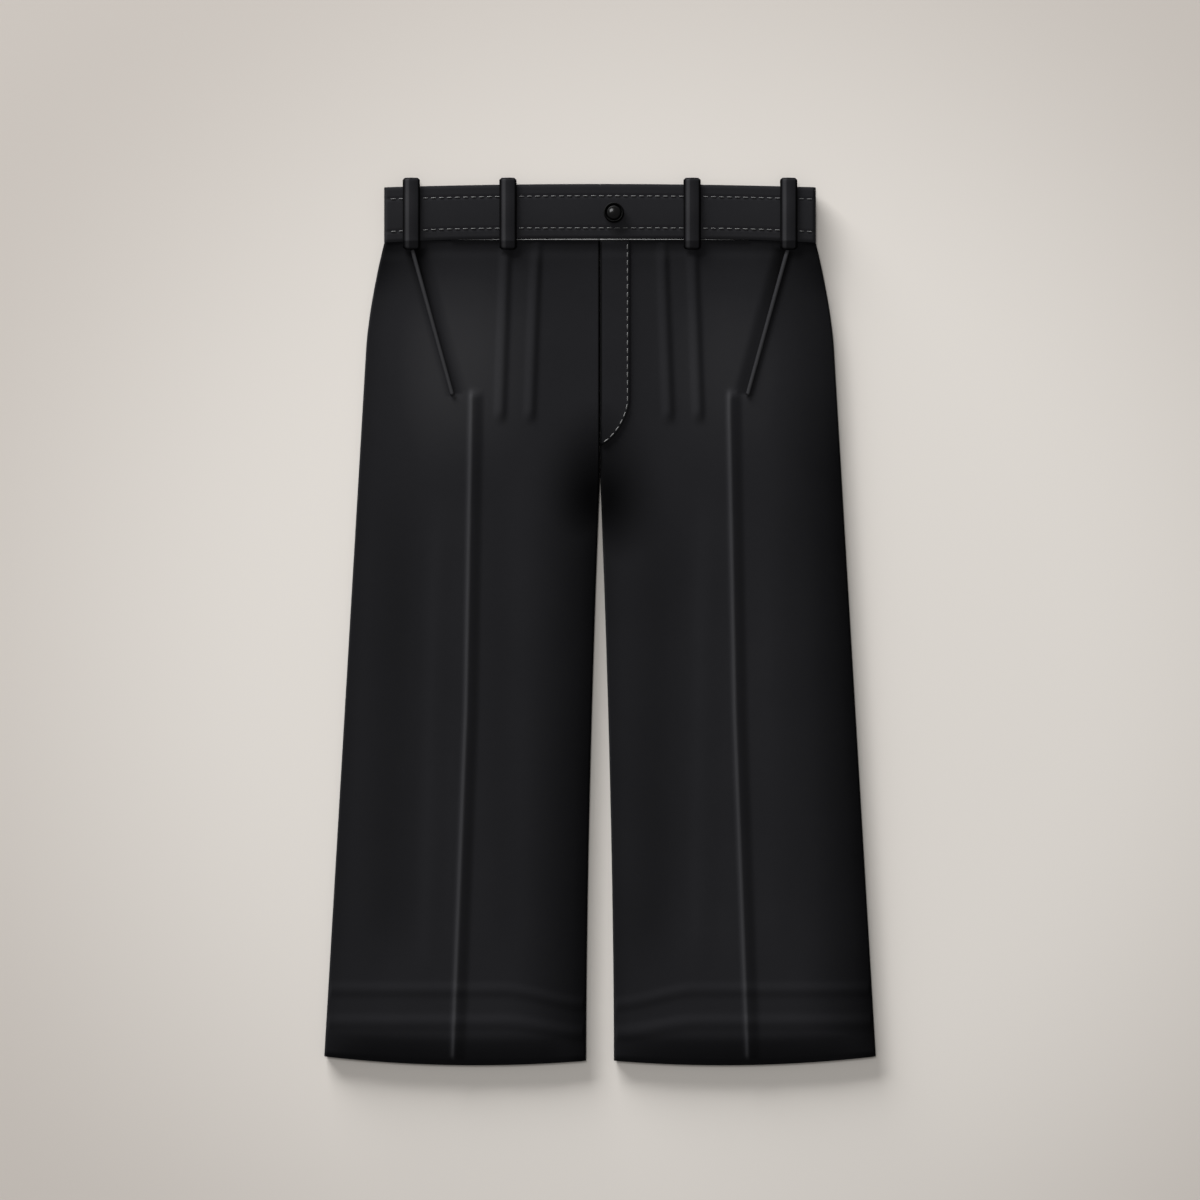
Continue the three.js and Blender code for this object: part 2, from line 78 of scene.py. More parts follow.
# %% Softboxes
MAIN_LIGHT = {"turn": 27, "rise": 6.6, "away": 12.0, "wide": 8.5, "tall": 3.0, "watts": 6650}
TOP_LIGHT = {"turn": 30, "rise": 67, "away": 6.0, "wide": 1.5, "tall": 1.5, "watts": 78}
ROOM_LIGHT = 0.27


def softbox(name, facts):
    """An area light turned left from the picture's top, risen over the table, facing its middle."""
    data = bpy.data.lights.new(name, "AREA")
    data.shape = "RECTANGLE"
    data.size = facts["wide"]
    data.size_y = facts["tall"]
    data.energy = facts["watts"]
    light = bpy.data.objects.new(name, data)
    turn, rise = math.radians(facts["turn"]), math.radians(facts["rise"])
    way = Vector((-math.sin(turn) * math.cos(rise), math.cos(turn) * math.cos(rise), math.sin(rise)))
    light.location = way * facts["away"]
    light.rotation_euler = way.to_track_quat("Z", "Y").to_euler()
    bpy.context.scene.collection.objects.link(light)


softbox("main_softbox", MAIN_LIGHT)
softbox("top_softbox", TOP_LIGHT)

world = bpy.data.worlds.new("pale_room")
world.use_nodes = True
background = world.node_tree.nodes["Background"]
background.inputs["Color"].default_value = (1.0, 0.985, 0.96, 1)
background.inputs["Strength"].default_value = ROOM_LIGHT
bpy.context.scene.world = world
bpy.context.scene.view_settings.view_transform = "Standard"

# %% [markdown]
# ## Small tools for materials
# Every finish is a Principled shader with a pattern fed into its colour, roughness and bump. These
# helpers add one node at a time, so that the recipes below stay short. Patterns read Object
# coordinates: each piece keeps its origin at the world origin, so they are simply metres.


# %% Material helpers
def new_finish(name):
    """An empty material: returns it, its nodes and its Principled shader."""
    finish = bpy.data.materials.new(name)
    finish.use_nodes = True
    tree = finish.node_tree
    return finish, tree, tree.nodes["Principled BSDF"]


def add_node(tree, kind, links=None, **values):
    """Adds a node, sets its properties and input values, and links its inputs from other outputs."""
    node = tree.nodes.new(kind)
    for key, value in values.items():
        if hasattr(node, key):
            setattr(node, key, value)
        else:
            node.inputs[key.replace("_", " ")].default_value = value
    for key, output in (links or {}).items():
        tree.links.new(output, node.inputs[key])
    return node


def object_points(tree, turned=0.0):
    """Object coordinates, turned in the plane of the table."""
    where = add_node(tree, "ShaderNodeTexCoord")
    mapping = add_node(tree, "ShaderNodeMapping", {"Vector": where.outputs["Object"]})
    mapping.inputs["Rotation"].default_value = (0, 0, math.radians(turned))
    return mapping.outputs["Vector"]


def ramp(tree, factor, stops):
    """A colour ramp from (place, grey or colour) stops."""
    node = add_node(tree, "ShaderNodeValToRGB", {"Fac": factor})
    elements = node.color_ramp.elements
    while len(elements) < len(stops):
        elements.new(0.5)
    for element, (place, tone) in zip(elements, stops):
        element.position = place
        tone = (tone, tone, tone) if isinstance(tone, (int, float)) else tone
        element.color = (*tone, 1)
    return node.outputs["Color"]


# %% [markdown]
# ## Black suiting
# The cloth is a smooth black twill. A twill shows fine slanted ribs, here a wave pattern turned to
# the slant, too fine to see from afar but alive close up. Light and shade are also painted into it:
# each point of the cloth carries a painted light value, and the finish reads it for its colour, its
# roughness and its specular tint. 0 is painted deep shade, as at the crotch: darker, matt and with
# its reflection tinted away. A half is the plain cloth, and 1 is a painted highlight, lighter and a
# little glossier, as on the crest of a crease or over the hips. Noise around that value keeps it
# from looking painted.

# %% Twill finish
TWILL_RIB = 0.9  # millimetres from rib to rib
TWILL_SLANT = 58
# Colours by painted light value: painted deep shade, plain black cloth, painted highlight.
BLACKS = [
    (0.0, (0.002, 0.002, 0.0022)), (0.5, (0.0136, 0.0136, 0.0154)), (1.0, (0.036, 0.036, 0.0385)),
]
GLOSSES = [(0.0, 0.85), (0.5, 0.75), (1.0, 0.6)]
# Specular tint by painted light value: in the painted shade the reflection is tinted away.
SHINES = [(0.0, 0.12), (0.42, 0.82), (0.55, 1.0)]
TWILL_SHINE = 0.04
TONE_DRIFT = 0.06
WAVE_SCALE = 0.314  # a wave pattern of this scale has one wave a metre


def twill_finish(name, slant):
    """Black twill: ribs at a slant, over a black that follows the painted light and shade."""
    finish, tree, shader = new_finish(name)
    ribs = add_node(
        tree, "ShaderNodeTexWave", {"Vector": object_points(tree, slant)}, wave_type="BANDS",
        bands_direction="X", wave_profile="SIN", Scale=WAVE_SCALE / (TWILL_RIB * MM), Distortion=1.2,
        Detail=1.0,
    )
    threads = add_node(
        tree, "ShaderNodeTexNoise", {"Vector": object_points(tree)}, Scale=900.0, Detail=2.0,
    )
    clouds = add_node(
        tree, "ShaderNodeTexNoise", {"Vector": object_points(tree)}, Scale=9.0, Detail=4.0,
        Roughness=0.55,
    )
    # The painted light value of each point: painted highlight above a half, painted shade below it.
    painted_light = add_node(tree, "ShaderNodeAttribute", attribute_name="painted_light")
    drift = add_node(
        tree, "ShaderNodeMapRange", {"Value": clouds.outputs["Fac"]}, To_Min=-TONE_DRIFT,
        To_Max=TONE_DRIFT,
    )
    light_value = add_node(
        tree, "ShaderNodeMath", {0: painted_light.outputs["Fac"], 1: drift.outputs["Result"]},
        operation="ADD",
    )
    for socket, stops in (("Base Color", BLACKS), ("Roughness", GLOSSES), ("Specular Tint", SHINES)):
        tree.links.new(ramp(tree, light_value.outputs["Value"], stops), shader.inputs[socket])
    weave = add_node(
        tree, "ShaderNodeMath", {0: ribs.outputs["Fac"], 1: threads.outputs["Fac"]}, operation="ADD",
    )
    bump = add_node(
        tree, "ShaderNodeBump", {"Height": weave.outputs["Value"]}, Strength=0.2, Distance=0.1 * MM,
    )
    tree.links.new(bump.outputs["Normal"], shader.inputs["Normal"])
    shader.inputs["Specular IOR Level"].default_value = TWILL_SHINE
    return finish


cloth = twill_finish("black_twill", TWILL_SLANT)
band_cloth = twill_finish("black_twill_band", -TWILL_SLANT)
print("cloth finishes:", cloth.name, band_cloth.name)

# %% [markdown]
# ## Thread, piping and button finishes
# The grey topstitching thread is twisted, so it gets fine slanted stripes. The piping is the same
# grey, paler, as a tight cord. The button is hard black plastic: its domed middle is glossy and its
# rim matt, and towards the rim it also gets painted shade, a darker colour and its reflection tinted
# away, so the finish reads the distance from the button's middle.


# %% Thread, piping and button
BUTTON_X, BUTTON_Y = 13.1, 388.8
BUTTON_SEAT = 9.7
DOME = 3  # height of the button's middle over its seat
# Between these distances the finish goes from the glossy middle to the rim's painted shade.
GLOSSY_MIDDLE, RIM = 5.0, 6.6  # distances from the top of the dome
SCUFFS = 0.08


def thread_finish(name, dark, light, twist):
    """Twisted thread: narrow slanted stripes in two greys."""
    finish, tree, shader = new_finish(name)
    strands = add_node(
        tree, "ShaderNodeTexWave", {"Vector": object_points(tree, 35)}, wave_type="BANDS",
        bands_direction="X", Scale=WAVE_SCALE / (twist * MM), Distortion=0.4,
    )
    colour = ramp(tree, strands.outputs["Fac"], [(0.2, dark), (0.8, light)])
    tree.links.new(colour, shader.inputs["Base Color"])
    bump = add_node(
        tree, "ShaderNodeBump", {"Height": strands.outputs["Fac"]}, Strength=0.4, Distance=0.1 * MM,
    )
    tree.links.new(bump.outputs["Normal"], shader.inputs["Normal"])
    shader.inputs["Roughness"].default_value = 0.55
    return finish


def button_finish():
    finish, tree, shader = new_finish("black_button_plastic")
    where = add_node(tree, "ShaderNodeTexCoord").outputs["Object"]
    scuffs = add_node(tree, "ShaderNodeTexNoise", {"Vector": where}, Scale=420.0, Detail=3.0)
    out = add_node(tree, "ShaderNodeVectorMath", {0: where}, operation="DISTANCE")
    out.inputs[1].default_value = (BUTTON_X * MM, BUTTON_Y * MM, (BUTTON_SEAT + DOME) * MM)
    rim = add_node(
        tree, "ShaderNodeMapRange", {"Value": out.outputs["Value"]}, From_Min=GLOSSY_MIDDLE * MM,
        From_Max=RIM * MM,
    )
    worn = add_node(
        tree, "ShaderNodeMapRange", {"Value": scuffs.outputs["Fac"]}, To_Min=-SCUFFS, To_Max=SCUFFS,
    )
    both = add_node(
        tree, "ShaderNodeMath", {0: rim.outputs["Result"], 1: worn.outputs["Result"]},
        operation="ADD",
    )
    # Towards the rim: rougher, with painted shade, a darker colour and its reflection tinted away.
    for socket, stops in (
        ("Roughness", [(0.0, 0.13), (1.0, 0.75)]),
        ("Specular Tint", [(0.2, 1.0), (1.0, 0.02)]),
        ("Base Color", [(0.0, 0.003), (1.0, 0.0008)]),
    ):
        tree.links.new(ramp(tree, both.outputs["Value"], stops), shader.inputs[socket])
    shader.inputs["Specular IOR Level"].default_value = 0.24
    return finish


thread = thread_finish("grey_thread", 0.075, 0.12, 0.5)
piping_thread = thread_finish("grey_piping_cord", 0.13, 0.15, 0.9)
button_plastic = button_finish()
print("trim finishes:", thread.name, piping_thread.name, button_plastic.name)

# %% [markdown]
# ## The table
# A plain pale surface just under the cloth. Its colour falls off gently towards the corners, a
# painted shade like the fall-off of light on a table, and a very fine grain keeps it from looking
# like paper cut out of nothing.

# %% Pale table
FLOOR_HALF = 6.0
FLOOR_DROP = 0.2
# Middle of the painted light on the table, set off the centre to even out the softbox's own
# fall-off.
BRIGHTEST = (0.09, -0.05, 0)  # metres; the room's own light evens out what the softbox does
FALL = (0.35, 0.85)  # metres from there, where the fall starts and ends
TABLE_TONES = [(0.0, (0.742, 0.706, 0.665)), (1.0, (0.556, 0.516, 0.479))]


def table_finish():
    finish, tree, shader = new_finish("pale_table")
    where = add_node(tree, "ShaderNodeTexCoord")
    far = add_node(tree, "ShaderNodeVectorMath", {0: where.outputs["Object"]}, operation="DISTANCE")
    far.inputs[1].default_value = BRIGHTEST
    fall = add_node(
        tree, "ShaderNodeMapRange", {"Value": far.outputs["Value"]}, From_Min=FALL[0],
        From_Max=FALL[1], interpolation_type="SMOOTHSTEP",
    )
    tree.links.new(ramp(tree, fall.outputs["Result"], TABLE_TONES), shader.inputs["Base Color"])
    grain = add_node(
        tree, "ShaderNodeTexNoise", {"Vector": where.outputs["Object"]}, Scale=600.0, Detail=3.0,
    )
    bump = add_node(
        tree, "ShaderNodeBump", {"Height": grain.outputs["Fac"]}, Strength=0.05, Distance=0.1 * MM,
    )
    tree.links.new(bump.outputs["Normal"], shader.inputs["Normal"])
    shader.inputs["Roughness"].default_value = 0.9
    shader.inputs["Specular IOR Level"].default_value = 0.1
    return finish


work = bmesh.new()
bmesh.ops.create_grid(work, x_segments=2, y_segments=2, size=FLOOR_HALF)
bmesh.ops.translate(work, verts=work.verts, vec=(0, 0, -FLOOR_DROP * MM))
floor_mesh = bpy.data.meshes.new("table_top")
work.to_mesh(floor_mesh)
work.free()
floor = bpy.data.objects.new("table_top", floor_mesh)
floor.data.materials.append(table_finish())
bpy.context.scene.collection.objects.link(floor)
print("table:", tuple(round(v, 2) for v in floor.dimensions))

# %% [markdown]
# ## Outline of the trousers
# Before any cloth is made, a few short functions say where its edges run: the waist seam, the side
# of the hip and leg, the inside leg and the hem. x is always the distance from the centre line, so
# the same functions serve both legs.

# %% Edges of the cloth
WAIST_HALF = 205.2
GAP = 0.3
SEWN = 0.04  # a seam that is sewn shut shows no gap
CROTCH_Y = 136.7
PANEL_TOP_Y = 362.45
PIPING_LOW_Y = 362.75
HEM_INNER = (13.0, -417.4)
HEM_OUTER = (262.2, -413.3)
HEM_SAG = 6.17
PANEL_LENGTH = PANEL_TOP_Y - HEM_INNER[1]
SIDES = (("right", -1), ("left", 1))  # the wearer's right is the left of the picture
BAND_HIGH = {"middle": 416.05, "dip": 3.15}
BAND_LOW = {"middle": 364.1, "dip": 3.9, "power": 3.6}
SIDE = {"hip": 216.6, "flare": 0.0592, "pull": 11.4, "pull_length": 100}
INSIDE = {"space": 13.06, "length": 553}
CURVE_POWER = 1.7


def clamp01(v):
    return min(1.0, max(0.0, v))


def mix(a, b, f):
    return a + (b - a) * f


def ease(v):
    v = clamp01(v)
    return v * v * (3 - 2 * v)


def bell(v):
    return 0.5 + 0.5 * math.cos(math.pi * v) if abs(v) < 1 else 0.0


def band_top(x):
    return BAND_HIGH["middle"] - BAND_HIGH["dip"] * (x / WAIST_HALF) ** 2


def band_bottom(x):
    return BAND_LOW["middle"] - BAND_LOW["dip"] * abs(x / WAIST_HALF) ** BAND_LOW["power"]


def panel_top(x):
    return min(PANEL_TOP_Y, band_bottom(x) - SEWN)


def side_x(y):
    """Side seam: it flares evenly, and the waist is drawn in from that line."""
    down = max(0.0, panel_top(WAIST_HALF) - y)
    pulled = (1 - clamp01(down / SIDE["pull_length"])) ** CURVE_POWER
    return SIDE["hip"] + SIDE["flare"] * down - SIDE["pull"] * pulled


def inner_x(y):
    """Centre seam, and below the crotch the inside leg, which leaves it in a curve."""
    near = (1 - clamp01((CROTCH_Y - y) / INSIDE["length"])) ** CURVE_POWER
    return GAP / 2 + INSIDE["space"] * (1 - near)


def hem_y(x):
    f = clamp01((x - HEM_INNER[0]) / (HEM_OUTER[0] - HEM_INNER[0]))
    return mix(HEM_INNER[1], HEM_OUTER[1], f) - 4 * HEM_SAG * f * (1 - f)


def row_y(share, x):
    return mix(panel_top(x), hem_y(x), share)


def settle(share, edge):
    """Where an edge crosses a row: rows curve and edges slant, so it is found in three steps."""
    x = WAIST_HALF / 2
    for _ in range(3):
        x = edge(row_y(share, x))
    return x


print("hip to hip at the hem:", round(2 * settle(1, side_x), 1), "mm")

# %% [markdown]
# ## How high the cloth lies
# Two layers of cloth lie on each other. The front one is highest in the middle of a leg, falls
# softly towards its edges and turns down round them to meet the back one. Above the crotch the two
# fronts meet flat in the centre seam, and the seam sinks as it comes to the crotch.

# %% Levels of the front
EDGE_TOP = 5.5
FRONT_CROWN = 8.4
SEAM_Z = 2.75
WAIST_FRONT, WAIST_BACK, WAIST_SEAM = 8.0, 1.8, 5.3
WAIST_SETTLE = 52
EDGE_ROLL = 60
ROLL_POWER = 2.4
SEAM_SINK = 75  # length above the crotch over which the centre seam sinks
HEM_ROLL = 28
WAIST_HOLLOW = {"depth": 0.35, "reach": 9}


def settled(down):
    return ease(down / WAIST_SETTLE)


def seam_level(down):
    return mix(WAIST_SEAM, SEAM_Z, settled(down))


def edge_top(down):
    return mix(WAIST_FRONT, EDGE_TOP, settled(down))


def back_bottom(down):
    return mix(WAIST_BACK, 0, settled(down))


def front_base(x, y):
    """Height of the front panel without its folds."""
    down = panel_top(x) - y
    low = edge_top(down)
    start = low - seam_level(down) - GAP / 2
    side = clamp01(1 - (side_x(y) - x - start) / EDGE_ROLL) ** ROLL_POWER
    inner = clamp01(1 - (x - inner_x(y) - start) / EDGE_ROLL) ** ROLL_POWER
    inner *= ease((CROTCH_Y + SEAM_SINK - y) / SEAM_SINK)
    hem = clamp01(1 - (y - hem_y(x)) / HEM_ROLL) ** 2
    keep = (1 - side) * (1 - inner) * (1 - hem)
    crown = mix(WAIST_FRONT, FRONT_CROWN, settled(down))
    hollow = WAIST_HOLLOW["depth"] * bell((down - WAIST_HOLLOW["reach"]) / WAIST_HOLLOW["reach"])
    return low + (crown - low) * keep - hollow


print("front panel height mid leg:", round(front_base(130, 0), 2), "mm")

# %% [markdown]
# ## Pleats, creases and hem folds
# Each front has two pleats let into the waistband, which open out above the hip, and a pressed
# crease from there to the hem. A fold is a soft ridge along a line. The table gives each line's
# distance from the centre at four levels down the panel, and the ridges run through those points.

# %% Fold lines
LEVELS = (0, 168, 450, 780)
FOLD_LINES = {
    "inner_pleat": {-1: (59.5, 65.9, 66.5, 70), 1: (59.5, 65.9, 66.5, 70)},
    "outer_pleat": {-1: (88.4, 94.2, 97, 104), 1: (88.4, 94.2, 97, 104)},
    "crease": {-1: (121.5, 123.2, 127.9, 140.6), 1: (121.0, 122.2, 127.6, 139.7)},
}
PLEAT = {
    "height": 0.95, "left": 8.8, "right": 6.2, "crest": 0, "end": 176, "fade": 14,
    "shut": 0.3, "opens_in": 22,
}
CREASE = {
    "height": 1.35, "left": 4.3, "right": 11.5, "crest": 1.2, "start": 140, "fade": 10,
    "end": 6.5, "power": 1.15,
}
HEM_RIDGES = (  # level, how much lower at the inside, height, spread
    (-349.5, 14, 0.42, 9),
    (-380.5, 10.5, 0.5, 10),
)
HEM_RIDGE_BEND = 80
DRAPES = {  # a line at the hip and at the hem, reach to its sides, height; then where folds start,
    # how long both ends are, and how far above the hem they stop
    -1: ((182, 196, 42, -0.6), (96, 84, 24, -0.25), (150, 166, 16, 0.22)),
    1: ((68, 56, 42, -0.6), (176, 190, 24, -0.25), (104, 96, 18, 0.22)),
    "start": 210, "in": 120, "out": 90, "clear": 60,
}


def fold_x(name, side, down):
    row = FOLD_LINES[name][side]
    i = 0 if down < LEVELS[1] else 1 if down < LEVELS[2] else 2
    return mix(row[i], row[i + 1], clamp01((down - LEVELS[i]) / (LEVELS[i + 1] - LEVELS[i])))


def flank(fold, name, side, x, down):
    """Distance from the fold's crest as a share of its flank there; the left one is negative."""
    off = side * (x - fold_x(name, side, down)) - fold["crest"]
    return off / (fold["left"] if off < 0 else fold["right"])


def pleated(down):
    """How open the pleats are: nearly shut at the waist seam, and gone where they end."""
    opened = mix(PLEAT["shut"], 1, ease(down / PLEAT["opens_in"]))
    return opened * ease((PLEAT["end"] - down) / PLEAT["fade"])


def creased(x, y):
    """How sharp the crease is: it starts below the pocket and ends just above the hem."""
    down = panel_top(x) - y
    above = y - hem_y(x)
    return ease((down - CREASE["start"]) / CREASE["fade"]) * ease((above - CREASE["end"]) / 2 + 0.5)


def folds(side, x, y):
    """Height of all folds at a point: pleats, crease, hem ridges and drapes."""
    down = panel_top(x) - y
    pleats = sum(bell(flank(PLEAT, name, side, x, down)) for name in ("inner_pleat", "outer_pleat"))
    sharp = clamp01(1 - abs(flank(CREASE, "crease", side, x, down))) ** CREASE["power"]
    z = PLEAT["height"] * pleats * pleated(down) + CREASE["height"] * sharp * creased(x, y)
    inside = ease(1 - (x - HEM_INNER[0]) / HEM_RIDGE_BEND)
    for level, lower, tall, spread in HEM_RIDGES:
        z += tall * bell((y - level + lower * inside) / spread)
    return z + drape(side, x, down)


def long_folds(table, side, x, down):
    """Height of soft folds that run down a leg, grow in at the hip and die away before the hem."""
    start, end = table["start"], LEVELS[3]
    f = clamp01((down - start) / (end - start))
    grown = ease((down - start) / table["in"]) * ease((end - table["clear"] - down) / table["out"])
    heights = (h * bell((x - mix(hip, hem, f)) / reach) for hip, hem, reach, h in table[side])
    return grown * sum(heights)


def drape(side, x, down):
    """Soft long folds of a hanging leg, each leg its own."""
    return long_folds(DRAPES, side, x, down)


print("crease from the centre at the hem:", fold_x("crease", -1, 780), "mm")

# %% [markdown]
# ## Slanted pockets
# Each pocket is a slanted opening with a narrow welt on its edge. The cloth dips in a soft trough on
# the side nearer the fly, where the opening pulls it down.

# %% Pocket line
POCKET_TOP = (178.2, 353.2)
POCKET_LOW = (140.1, 215.6)
POCKET_LENGTH = math.dist(POCKET_TOP, POCKET_LOW)
POCKET_WAY = [(low - top) / POCKET_LENGTH for low, top in zip(POCKET_LOW, POCKET_TOP)]
POCKET_TROUGH = {"depth": 0.32, "from_line": 5.0, "spread": 8.0, "fade": 14}


def pocket_place(x, y):
    """How far along the pocket line a point is, and how far off it towards the fly."""
    dx, dy = x - POCKET_TOP[0], y - POCKET_TOP[1]
    return dx * POCKET_WAY[0] + dy * POCKET_WAY[1], dx * POCKET_WAY[1] - dy * POCKET_WAY[0]


def pocket_dip(x, y):
    """Depth of the trough beside a pocket, which fades at both ends of it."""
    along, off = pocket_place(x, y)
    depth, fade = POCKET_TROUGH["depth"], POCKET_TROUGH["fade"]
    ends = ease((along + fade) / fade) * ease((POCKET_LENGTH + fade / 2 - along) / fade)
    return -depth * bell((off - POCKET_TROUGH["from_line"]) / POCKET_TROUGH["spread"]) * ends


def front_top(side, x, y):
    return front_base(x, y) + folds(side, x, y) + pocket_dip(x, y)


print("pocket length:", round(POCKET_LENGTH, 1), "mm")

# %% [markdown]
# ## Painted light and shade on the fronts
# A painted highlight lies over each hip and along the crest of each crease. Painted shade darkens
# the crotch, the cloth just below the waistband as its painted shadow, the hem, the edges and the
# right side of each leg, the hollows of the long folds, the right flank of each fold and the sides
# of each pocket welt. A dark line marks the centre seam above the crotch. A short table of soft
# spots and a few distances from the edges give the value that the twill finish reads.

# %% Painted light and shade
PLAIN = 0.5
# Painted highlights over the hips.
HIP_HIGHLIGHTS = (  # middle x and y, reach across and along, more
    (-136, 248, 104, 135, 0.24),
    (121, 243, 90, 130, 0.13),
)
# Painted shade at the crotch.
CROTCH = {"y": 117, "across": 76, "along": 102, "less": 0.52}
# Painted highlight along the crest of each crease, stronger near the hem.
CREST_HIGHLIGHT = {"beyond": 0.6, "reach": 3.0, "more": 0.28, "more_at_hem": 0.16}
FLANK_SHADE = {  # the right flank of a fold: less, middle beyond its line, reach
    "crease": (0.16, 8.0, 8.0),
    "inner_pleat": (0.12, 4.4, 5.0),
    "outer_pleat": (0.12, 4.4, 5.0),
}
SHADE_LOST_AT_HEM = 0.8
WELT_SHADE = {"fly_side": (0.4, 16), "hip_side": (0.28, 8)}
# Painted shade along the hem.
HEM_SHADE = {"less": 0.27, "from": 36, "to": 20}
# Painted shade along the edges of each leg.
EDGE_SHADE = {-1: (0.19, 60), 1: (0.2, 66)}  # left and right edge in the picture: less, reach
# More painted shade on the right side of each leg, away from the light.
RIGHT_SIDE_SHADE = {"less": 0.19, "reach": 76, "from": 100, "to": 220}
# A little painted shade just inside every edge.
RIM_SHADE = (0.05, 15)
SEAM_SLACK = {"less": 0.6, "from": 1.9, "to": 1.3}
# Painted shadow of the waistband on the cloth below it.
BAND_SHADOW = {"less": 0.2, "reach": 90}
# Painted shade in the hollows of the long folds.
TROUGH_SHADE = 0.18


def front_painted_light(side, x, y):
    """Painted light and shade of the front at a point."""
    down, above = panel_top(x) - y, y - hem_y(x)
    # Painted shadow of the waistband, fading downwards.
    value = PLAIN - BAND_SHADOW["less"] * clamp01(1 - down / BAND_SHADOW["reach"]) ** 2
    # Painted highlights over the hips.
    for cx, cy, across, along, more in HIP_HIGHLIGHTS:
        value += more * bell(min(1, math.hypot((side * x - cx) / across, (y - cy) / along)))
    # Painted shade at the crotch.
    crotch = bell(min(1, math.hypot(x / CROTCH["across"], (y - CROTCH["y"]) / CROTCH["along"])))
    # How near the hem: it sets the painted shade there and strengthens the crest's painted
    # highlight.
    hem = ease((HEM_SHADE["from"] - above) / (HEM_SHADE["from"] - HEM_SHADE["to"]))
    inside = (x - inner_x(y)) if y < CROTCH_Y else x + (y - CROTCH_Y)
    outside = side_x(y) - x
    off = {-1: outside, 1: inside} if side < 0 else {-1: inside, 1: outside}
    # Painted shade along the leg's edges, more on its right side and just inside every edge.
    edges = max(less * clamp01(1 - off[way] / reach) for way, (less, reach) in EDGE_SHADE.items())
    grown = ease((down - RIGHT_SIDE_SHADE["from"]) / (RIGHT_SIDE_SHADE["to"] - RIGHT_SIDE_SHADE["from"]))
    edges += RIGHT_SIDE_SHADE["less"] * grown * clamp01(1 - off[1] / RIGHT_SIDE_SHADE["reach"])
    edges += RIM_SHADE[0] * clamp01(1 - min(inside, outside) / RIM_SHADE[1])
    value -= max(CROTCH["less"] * crotch, HEM_SHADE["less"] * hem, edges)
    # Painted shade in the hollows of the long folds.
    value += TROUGH_SHADE * min(0, drape(side, x, down))
    # Painted highlight along the crease's crest.
    crest = bell((side * (x - fold_x("crease", side, down)) - CREST_HIGHLIGHT["beyond"]) / CREST_HIGHLIGHT["reach"])
    value += (CREST_HIGHLIGHT["more"] + CREST_HIGHLIGHT["more_at_hem"] * hem) * crest * creased(x, y)
    for name, (less, beyond, reach) in FLANK_SHADE.items():
        grown = pleated(down)
        if name == "crease":
            grown = creased(x, y) * (1 - SHADE_LOST_AT_HEM * hem)
        value -= less * grown * bell((side * (x - fold_x(name, side, down)) - beyond) / reach)
    along, off = pocket_place(x, y)
    less, reach = WELT_SHADE["fly_side" if off > 0 else "hip_side"]
    if 0 < along < POCKET_LENGTH:
        value -= less * clamp01(1 - abs(off) / reach)
    if y > CROTCH_Y:
        start, end = SEAM_SLACK["from"], SEAM_SLACK["to"]
        value -= SEAM_SLACK["less"] * clamp01((start - x) / (start - end))
    return max(0, value)


print("pressed at the crotch:", round(front_painted_light(1, 2, 121), 2))

# %% [markdown]
# ## From a flat grid to a cloth panel
# A panel starts as a flat grid, as cloth starts flat on the cutting table, and each of its points is
# then laid where the outline and heights say. Rows lie closer together where the form changes
# quickly. Solidify gives the sheet its thickness inwards, away from the side that shows.

# %% Laying a grid
FRONT_CLOTH = 2.2
BACK_CLOTH = 2.3
SEAM_DIP = 0.8
# Painted light value for pieces whose place function gives none, a little lighter than plain cloth.
TRIM_PAINTED_LIGHT = 0.55  # of pieces whose place function says nothing about it
TIGHT = 0.08


def as_piece(name, work, finish):
    """Turns worked faces into a smooth piece that rides with the trousers."""
    for face in work.faces:
        face.smooth = True
    mesh = bpy.data.meshes.new(name)
    work.to_mesh(mesh)
    work.free()
    mesh.materials.append(finish)
    piece = bpy.data.objects.new(name, mesh)
    bpy.context.scene.collection.objects.link(piece)
    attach(piece, "root")
    return piece


def laid_sheet(name, columns, rows, place, thickness, facing_up, finish):
    """A grid of columns and rows of black cloth, laid point by point by place(u, v)."""
    work = bmesh.new()
    bmesh.ops.create_grid(work, x_segments=columns, y_segments=rows, size=0.5)
    # Each point keeps its painted light value, which the twill finish reads as painted light and
    # shade.
    painted_light = work.verts.layers.float.new("painted_light")
    for point in work.verts:
        x, y, z, *painted = place(clamp01(point.co.x + 0.5), clamp01(0.5 - point.co.y))
        point.co = Vector((x, y, z)) * MM
        point[painted_light] = painted[0] if painted else TRIM_PAINTED_LIGHT
    work.normal_update()
    tilt = sum(face.normal.z * face.calc_area() for face in work.faces)
    if (tilt > 0) != facing_up:
        bmesh.ops.reverse_faces(work, faces=work.faces)
    piece = as_piece(name, work, finish)
    wall = piece.modifiers.new("thickness", "SOLIDIFY")
    wall.thickness = thickness * MM
    wall.offset = -1
    return piece


def rolled(edge_x, inward, angle, turn, radius, top, up):
    """A point of an edge that rolls over: angle is 90 at the very edge, turn 0 for a plain seam."""
    a = math.radians(angle)
    drop = radius * (1 - math.cos(a)) * (1 - math.cos(turn * math.pi / 2))
    dip = SEAM_DIP * (1 - turn) * (angle / 90) ** 2
    return edge_x + inward * radius * (1 - math.sin(a)), top - up * (drop + dip)


def spaced(stops, v):
    """Reads a table of (share of the rows, distance) at v."""
    for (v0, d0), (v1, d1) in zip(stops, stops[1:]):
        if v <= v1:
            return mix(d0, d1, (v - v0) / (v1 - v0))
    return stops[-1][1]


def tight(v, rows):
    """Draws the rows next to both ends close to them, so that the edge itself stays crisp."""
    row = v * rows
    if 0.5 < row < 1.5:
        return TIGHT / rows
    return 1 - TIGHT / rows if 0.5 < rows - row < 1.5 else v


